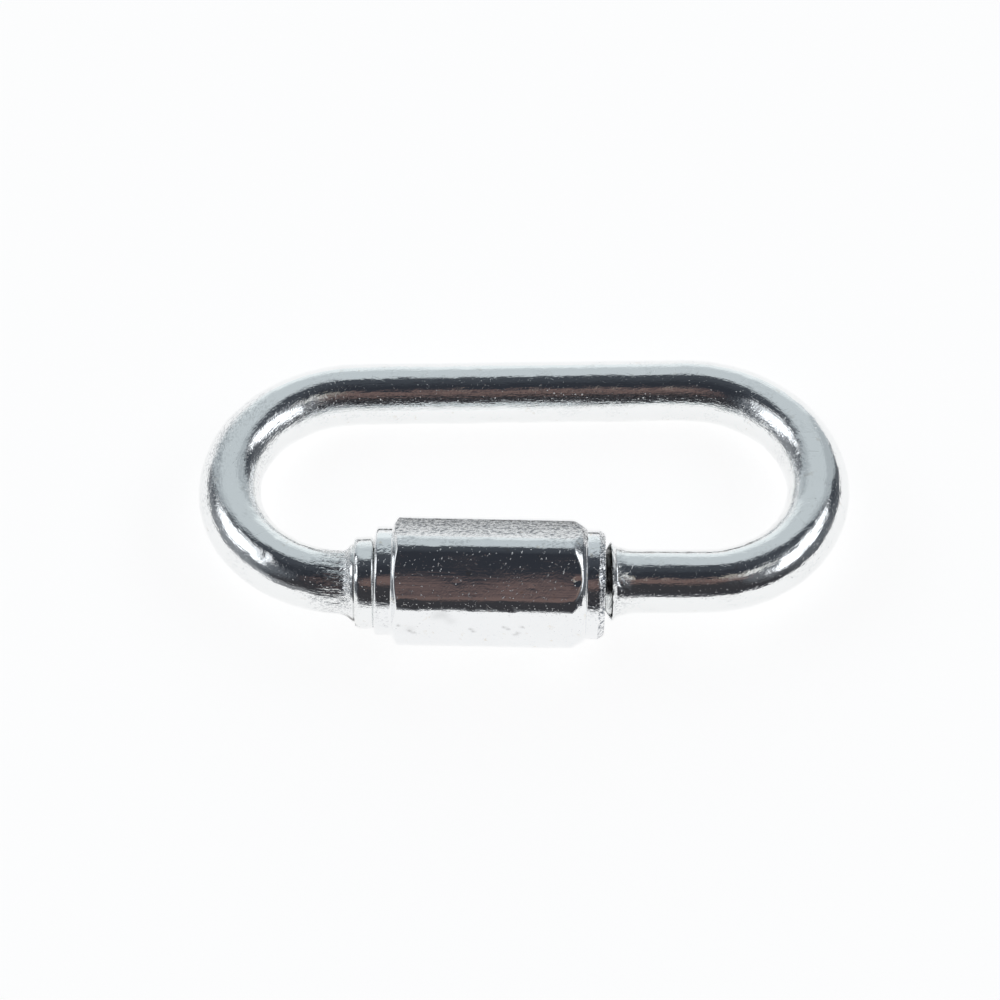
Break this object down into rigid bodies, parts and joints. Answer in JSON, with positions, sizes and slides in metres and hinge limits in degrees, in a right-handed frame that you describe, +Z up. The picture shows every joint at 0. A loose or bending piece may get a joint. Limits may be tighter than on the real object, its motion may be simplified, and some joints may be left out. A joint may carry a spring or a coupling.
{
  "type": "chain quick link",
  "caption": "Oval wire quick link for joining chain, with a hexagonal sleeve nut that screws across its gate and seats on a stop collar.",
  "frame": {"origin": "centre of the bounding box in plan, on the floor that the link lies on", "axes": "+X along the legs, towards the end that the nut opens to; +Y from the nut's leg to the plain leg; +Z up"},
  "size_m": [0.0526, 0.0272, 0.0102],
  "materials": {
    "plated_bar": "bright zinc plating on drawn steel wire",
    "plated_nut": "bright zinc plating on turned steel"
  },
  "bodies": {
    "link": {"link_body": "plated_bar"},
    "nut": {"sleeve_nut": "plated_nut"}
  },
  "joints": [
    {"name": "nut_travel", "type": "slide", "parent": "link", "child": "nut", "axis": [1, 0, 0], "range_m": [0, 0.008]}
  ]
}
